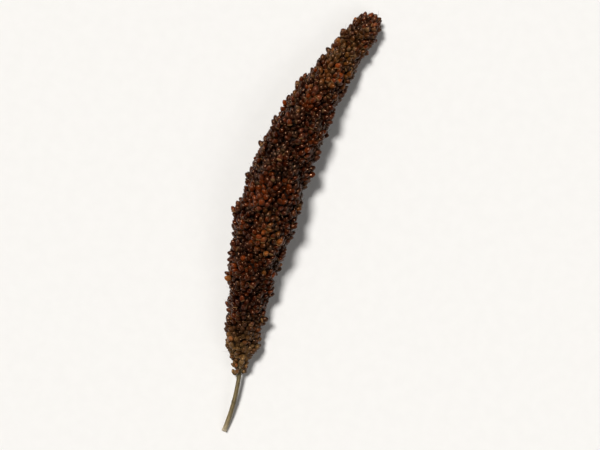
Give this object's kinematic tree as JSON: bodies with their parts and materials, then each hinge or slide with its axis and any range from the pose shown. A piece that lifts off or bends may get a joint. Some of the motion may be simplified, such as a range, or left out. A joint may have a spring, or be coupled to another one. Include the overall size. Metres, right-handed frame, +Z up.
{
  "type": "millet seed head",
  "caption": "Dried foxtail millet seed head lying on its side, densely covered in small red-brown grains, with a short bare stalk.",
  "frame": {"origin": "centre of the bounding box in plan, on the plane that the head lies on", "axes": "+Y along the head's length from the cut stalk towards the tip, +Z up, away from the surface the head lies on; the tip bends towards +X"},
  "size_m": [0.0248, 0.1452, 0.0174],
  "materials": {
    "grain_hull": "glossy dried grain hulls, dark red-brown",
    "dry_stalk": "dry straw stalk, olive-tan, matte"
  },
  "bodies": {
    "root": {"seed_head": "grain_hull", "stalk": "dry_stalk"}
  },
  "joints": []
}
